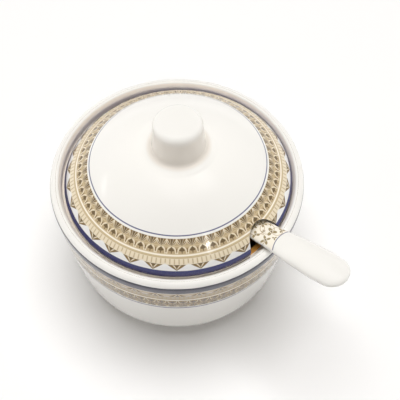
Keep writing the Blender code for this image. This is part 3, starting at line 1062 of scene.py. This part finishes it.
@dataclass
class Spoon:
    """The spoon: a round handle, a thin neck under the lid and a dished bowl on the pot's floor."""

    azimuth: float = -41.6
    tilt: float = 10.5
    reach: float = 87.34 * MM
    handle: float = 44.5 * MM
    rest_radius: float = 52.55 * MM
    rest_height: float = 64.75 * MM
    rest_thickness: float = 4.2 * MM
    neck_bend: float = 14.0 * MM
    neck_pitch: float = 56.0
    neck: float = 41.4 * MM
    bowl_bend: float = 22.0 * MM
    bowl_pitch: float = 10.0
    bowl: float = 30.0 * MM
    bowl_length: float = 42.0 * MM
    bowl_depth: float = 7.0 * MM
    section_power: float = 2.1
    section_points: int = 72
    rings: int = 260
    end_inset: float = 0.004 * MM
    end_thickness: float = 0.12
    bowl_power: float = 1.2
    crease: float = 50.0
    line_centre: float = 65.6
    line_radius: float = 11.5
    print_start: float = 30.0
    print_facing: float = 0.62
    half_widths: tuple[Point, ...] = ((0.045, 7.1), (0.09, 7.35), (0.15, 6.8), (0.265, 5.6), (0.315, 5.3),
                                      (0.42, 4.1), (0.6, 3.7), (0.7, 4.2), (0.77, 7.4), (0.845, 11.2),
                                      (0.9, 11.4), (0.965, 8.2))
    thicknesses: tuple[Point, ...] = ((0.02, 5.2), (0.06, 7.2), (0.13, 7.2), (0.2, 5.4), (0.245, 4.2),
                                      (0.3, 3.8), (0.38, 2.6), (0.65, 2.9), (0.8, 2.4), (0.97, 2.2))
    sprigs: tuple[Sprig, ...] = (
        Sprig(44.6, 2.5, 1.9, 5, 0.3), Sprig(50.0, 1.0, 2.2, 3, 0.5), Sprig(50.4, -3.5, 2.0, 4, 0.9),
        Sprig(45.4, -3.4, 1.6, 3, 2.4), Sprig(42.4, -1.0, 1.5, 4, 0.2), Sprig(52.8, 4.2, 1.5, 3, 2.9),
        Sprig(47.2, -0.6, 0.9, 5, 0.0), Sprig(53.0, -1.0, 1.0, 3, 1.2), Sprig(39.4, 2.2, 1.5, 5, 0.7),
        Sprig(37.6, -1.8, 1.4, 4, 0.4), Sprig(34.6, 1.0, 1.4, 3, 1.1), Sprig(47.4, 4.0, 0.9, 4, 0.6))
    stems: tuple[tuple[float, float, float], ...] = (
        (47.6, 1.4, 2.9), (48.0, -4.6, 2.6), (44.0, -1.0, 3.2), (51.8, 2.6, 2.2), (40.6, 0.2, 2.4))

    def runs(self) -> list[tuple[float, float]]:
        """Return the middle line's runs as (length, change of pitch), from the handle's end to the bowl."""
        tilt, steep, flat = (math.radians(a) for a in (self.tilt, self.neck_pitch, self.bowl_pitch))
        return [(self.handle, 0.0), (self.neck_bend * (steep - tilt), steep - tilt), (self.neck, 0.0),
                (self.bowl_bend * (steep - flat), flat - steep), (self.bowl, 0.0)]

    def length(self) -> float:
        """Return the length of the middle line."""
        return sum(run for run, _ in self.runs())

    def middle(self, distance: float) -> tuple[Vector, float]:
        """Walk along the middle line.

        Args:
            distance: how far from the handle's end.

        Returns:
            The point there, in the spoon's own upright plane, and the pitch.
        """
        place = Vector((self.reach, 0.0, 0.0))
        pitch = math.radians(self.tilt)
        for length, turn in self.runs():
            run = min(max(distance, 0.0), length)
            swing = 0.5 * turn * run / length
            chord = run * math.sin(swing) / swing if swing else run
            place += chord * Vector((-math.cos(pitch + swing), 0.0, -math.sin(pitch + swing)))
            pitch += 2 * swing
            distance -= run
        return place, pitch

    @staticmethod
    def between_rows(rows: tuple[Point, ...], share: float) -> float:
        """Ease from row to row of a table.

        Args:
            rows: (share, millimetres) in rising order.
            share: where along the spoon, from 0 to 1.

        Returns:
            The size there, in metres.
        """
        if share <= rows[0][0]:
            return rows[0][1] * MM
        for (start, first), (end, last) in zip(rows, rows[1:]):
            if share <= end:
                part = (share - start) / (end - start)
                return (first + (last - first) * part * part * (3 - 2 * part)) * MM
        return rows[-1][1] * MM

    def shape(self, share: float, angle: float) -> Vector:
        """Return a point of the spoon's skin in its own upright plane.

        Args:
            share: where along the middle line, from 0 to 1.
            angle: where round the section.

        Returns:
            The point, with heights from the handle's end.
        """
        length = self.length()
        distance = self.end_inset + (length - 2 * self.end_inset) * share
        place, pitch = self.middle(distance)
        half_width = self.between_rows(self.half_widths, distance / length)
        from_end = min(distance, length - distance) / half_width
        taper = math.sqrt(1.0 - (1.0 - min(from_end, 1.0)) ** 2)
        full = 0.5 * self.between_rows(self.thicknesses, distance / length)
        half_thick = full * (self.end_thickness + (1.0 - self.end_thickness) * taper)
        bowl = (distance - length + 0.5 * self.bowl_length) / (0.5 * self.bowl_length)
        depth = self.bowl_depth * max(0.0, 1.0 - bowl * bowl) ** self.bowl_power
        power = 2 / self.section_power
        across = math.copysign(abs(math.cos(angle)) ** power, math.cos(angle))
        rise = math.copysign(abs(math.sin(angle)) ** power, math.sin(angle))
        up = Vector((-math.sin(pitch), 0.0, math.cos(pitch)))
        height = half_thick * rise - depth * (1 - across * across)
        return place + Vector((0.0, half_width * taper * across, 0.0)) + height * up

    def lift(self) -> float:
        """Find how far the middle line is raised so that the handle lies on the rim.

        Returns:
            The rise.
        """
        tilt = math.radians(self.tilt)
        at_rest, _ = self.middle((self.reach - self.rest_radius) / math.cos(tilt))
        return self.rest_height + 0.5 * self.rest_thickness / math.cos(tilt) - at_rest.z

    def build(self) -> bpy.types.Object:
        """Ring a cylinder along its length, and draw each ring out to the spoon's section.

        Returns:
            The spoon.
        """
        bpy.ops.object.select_all(action='DESELECT')
        bpy.ops.mesh.primitive_cylinder_add(vertices=self.section_points, radius=1.0, depth=1.0)
        piece = Bench.start("spoon_body")
        bpy.ops.mesh.select_mode(type='EDGE')
        bpy.ops.mesh.select_all(action='DESELECT')
        bpy.ops.object.mode_set(mode='OBJECT')
        for edge in piece.data.edges:
            first, second = (piece.data.vertices[i].co for i in edge.vertices)
            edge.select = abs(first.z - second.z) > 0.5
        bpy.ops.object.mode_set(mode='EDIT')
        bpy.ops.mesh.subdivide(number_cuts=self.rings)
        bpy.ops.mesh.select_mode(type='VERT')
        bpy.ops.object.mode_set(mode='OBJECT')
        turn = Matrix.Rotation(math.radians(self.azimuth), 3, 'Z')
        raised = Vector((0.0, 0.0, self.lift()))
        for vertex in piece.data.vertices:
            even = vertex.co.z + 0.5
            share = 0.5 * even + 0.25 * (1 - math.cos(math.pi * even))
            vertex.co = turn @ (self.shape(share, math.atan2(vertex.co.y, vertex.co.x)) + raised)
        bpy.ops.object.mode_set(mode='EDIT')
        Bench.close()
        Bench.smooth(piece, self.crease)
        return piece

    def dress(self, piece: bpy.types.Object, skin: GlazeSkin) -> None:
        """Print the sprigs and the fine navy line on the upper face of the handle's inner end.

        Args:
            piece: the spoon.
            skin: the glaze's unevenness.
        """
        dressing = Dressing("spoon_glaze", WHITE_GLAZE, skin)
        x, y, _ = dressing.axes(Vector((0, 0, 0)), Matrix.Rotation(math.radians(self.azimuth), 3, 'Z'))
        along, across = x / MM, y / MM
        normal = dressing.tree.nodes.new("ShaderNodeNewGeometry")
        split = dressing.tree.nodes.new("ShaderNodeSeparateXYZ")
        dressing.tree.links.new(normal.outputs["Normal"], split.inputs["Vector"])
        upper = Field(dressing.tree, split.outputs["Z"]).above(self.print_facing, 0.12)
        beside = along - self.line_centre
        from_line = beside.hypot(across) - self.line_radius
        left_of = along.below(self.line_centre, 0.5)
        printed = from_line.above(0.0, 0.2) * left_of * along.above(self.print_start, 4.0) * upper
        paint = Paint(dressing.tree, WHITE_GLAZE.ground)
        paint.layer(printed * 0.75, Ink.CREAM)
        for centre_along, centre_across, radius in self.stems:
            run, rise = along - centre_along, across - centre_across
            ring = abs(run.hypot(rise) - radius)
            paint.layer(ring.below(0.14, 0.12) * printed * 0.8, Ink.GOLD)
        for sprig in self.sprigs:
            run, rise = along - sprig.along, across - sprig.across
            far = run.hypot(rise)
            swing = (rise.angle_over(run) - sprig.turn) * (0.5 * sprig.petals)
            lobe = abs(swing.make("COSINE", swing))
            petal = lobe * lobe * 0.85 + 0.2
            leaf = far.below(petal * sprig.size, 0.2) * printed
            paint.layer(leaf, Ink.OLIVE)
            paint.layer(far.below(petal * (0.4 * sprig.size) - 0.1, 0.2) * printed, Ink.CREAM)
            paint.layer(far.below(0.16 * sprig.size, 0.15) * printed, Ink.BROWN)
        line = abs(from_line).below(0.2, 0.15) * left_of * upper
        paint.layer(line * 0.8, Ink.NAVY)
        dressing.cover(piece, paint)


class Lamp(Enum):
    """The lamps: direction from the pot, distance, width, height, power, and whether glaze mirrors it."""

    TOP = ((0.0, 0.09, 0.99), 1.6, 1.2, 1.2, 24.8, False)
    LEFT = ((-0.99, -0.10, 0.06), 1.5, 0.6, 0.2, 4.6, False)
    RIGHT = ((0.98, -0.18, 0.06), 1.5, 0.6, 0.2, 3.6, False)
    GLOW = ((0.37, 0.05, 0.93), 1.2, 0.34, 0.34, 0.25, True)
    SPARK = ((0.334, -0.640, 0.676), 1.03, 0.065, 0.013, 0.16, True)
    STRIP = ((-0.88, 0.22, 0.42), 1.1, 0.35, 0.1, 0.18, True)


@dataclass
class Studio:
    """The floor, the light and the camera."""

    rim_height: float = RIM_HEIGHT
    floor_size: float = 6.0
    floor_colour: Colour = (0.95, 0.95, 0.95, 1.0)
    glow_start: float = 0.3
    glow_most: float = 0.9
    sky_low: float = 0.1
    sky_high: float = 0.24
    sky_tint: Colour = (1.0, 0.91, 0.82, 1.0)
    view_elevation: float = 55.728
    view_distance: float = 0.380
    view_yaw: float = 1.462
    view_pitch: float = 1.538
    view_roll: float = 1.181
    focal_pixels: float = 874.544
    image_pixels: float = 400.0
    sensor: float = 36.0

    def build_floor(self) -> None:
        """Lay a plain pale floor under the pot, which brightens to white where the lamps fall off."""
        bpy.ops.object.select_all(action='DESELECT')
        bpy.ops.mesh.primitive_plane_add(size=self.floor_size)
        floor = bpy.context.object
        floor.name = "floor"
        material = bpy.data.materials.new("floor_paper")
        material.use_nodes = True
        shader = material.node_tree.nodes["Principled BSDF"]
        shader.inputs["Base Color"].default_value = self.floor_colour
        shader.inputs["Roughness"].default_value = 0.9
        shader.inputs["Specular IOR Level"].default_value = 0.0
        shader.inputs["Emission Strength"].default_value = 1.0
        tree = material.node_tree
        middle = tree.nodes.new("ShaderNodeTexCoord")
        length = tree.nodes.new("ShaderNodeVectorMath")
        length.operation = 'LENGTH'
        tree.links.new(middle.outputs["Object"], length.inputs[0])
        far = (Field(tree, length.outputs["Value"]) - self.glow_start).most(0.0).least(self.glow_most)
        tree.links.new(far.socket, shader.inputs["Emission Color"])
        floor.data.materials.append(material)

    def build_world(self) -> None:
        """Make the surroundings white to look at and mirror, and softer as a light."""
        world = bpy.data.worlds.new("studio")
        bpy.context.scene.world = world
        world.use_nodes = True
        tree = world.node_tree
        light = tree.nodes["Background"]
        split = tree.nodes.new("ShaderNodeSeparateXYZ")
        tree.links.new(tree.nodes.new("ShaderNodeTexCoord").outputs["Generated"], split.inputs["Vector"])
        rise = Field(tree, split.outputs["Z"]).most(0.0)
        strength = rise * (self.sky_high - self.sky_low) + self.sky_low
        tree.links.new(strength.socket, light.inputs["Strength"])
        shown = tree.nodes.new("ShaderNodeBackground")
        path = tree.nodes.new("ShaderNodeLightPath")
        seen = Field(tree, path.outputs["Is Camera Ray"])
        for label in ("Is Glossy Ray", "Is Transmission Ray"):
            seen = seen.most(Field(tree, path.outputs[label]))
        mix = tree.nodes.new("ShaderNodeMixShader")
        tree.links.new(seen.socket, mix.inputs["Fac"])
        tree.links.new(light.outputs[0], mix.inputs[1])
        tree.links.new(shown.outputs[0], mix.inputs[2])
        shown.inputs["Color"].default_value = (1.0, 1.0, 1.0, 1.0)
        light.inputs["Color"].default_value = self.sky_tint
        tree.links.new(mix.outputs[0], tree.nodes["World Output"].inputs["Surface"])

    def build_lamps(self) -> None:
        """Hang the lamps round the pot, each facing the lid."""
        target = Vector((0.0, 0.0, self.rim_height))
        for lamp in Lamp:
            direction, distance, width, height, power, mirrored = lamp.value
            back = Vector(direction).normalized()
            data = bpy.data.lights.new("lamp_" + lamp.name.lower(), 'AREA')
            data.shape = 'ELLIPSE'
            data.size = width
            data.size_y = height
            data.energy = power
            hung = bpy.data.objects.new(data.name, data)
            bpy.context.scene.collection.objects.link(hung)
            hung.visible_glossy = mirrored
            hung.location = target + distance * back
            hung.rotation_euler = back.to_track_quat('Z', 'Y').to_euler()

    def build_camera(self) -> None:
        """Set the camera at the photograph's viewing angle."""
        rise = math.radians(self.view_elevation)
        back = Vector((0.0, -math.cos(rise), math.sin(rise)))
        right = Vector((1.0, 0.0, 0.0))
        level = Matrix((right, back.cross(right), back))
        nod = (Matrix.Rotation(math.radians(self.view_roll), 3, 'Z')
               @ Matrix.Rotation(math.radians(self.view_pitch), 3, 'X')
               @ Matrix.Rotation(math.radians(self.view_yaw), 3, 'Y'))
        data = bpy.data.cameras.new("camera")
        data.sensor_width = self.sensor
        data.lens = self.sensor * self.focal_pixels / self.image_pixels
        camera = bpy.data.objects.new("camera", data)
        bpy.context.scene.collection.objects.link(camera)
        place = Matrix.Translation(back * self.view_distance + Vector((0.0, 0.0, self.rim_height)))
        camera.matrix_world = place @ (nod @ level).transposed().to_4x4()
        bpy.context.scene.camera = camera

    def build(self) -> None:
        """Build the whole studio."""
        self.build_floor()
        self.build_world()
        self.build_lamps()
        self.build_camera()
        bpy.context.scene.view_settings.view_transform = 'Standard'


def main() -> None:
    """Build and dress the pot, the lid and the spoon, and set up the studio."""
    logging.basicConfig(level=logging.INFO, format="%(name)s %(message)s")
    skin = GlazeSkin()
    border = PrintedBorder()
    pot, lid, spoon = Pot(), Lid(), Spoon()
    pot_piece = pot.build()
    pot.dress(pot_piece, border, skin)
    Bench.hand_over(pot_piece, "pot")
    lid_piece = lid.build()
    lid.dress(lid_piece, border, skin)
    Bench.hand_over(lid_piece, "lid")
    spoon_piece = spoon.build()
    spoon.dress(spoon_piece, skin)
    Bench.hand_over(spoon_piece, "spoon")
    Studio().build()


if __name__ == "__main__":
    main()
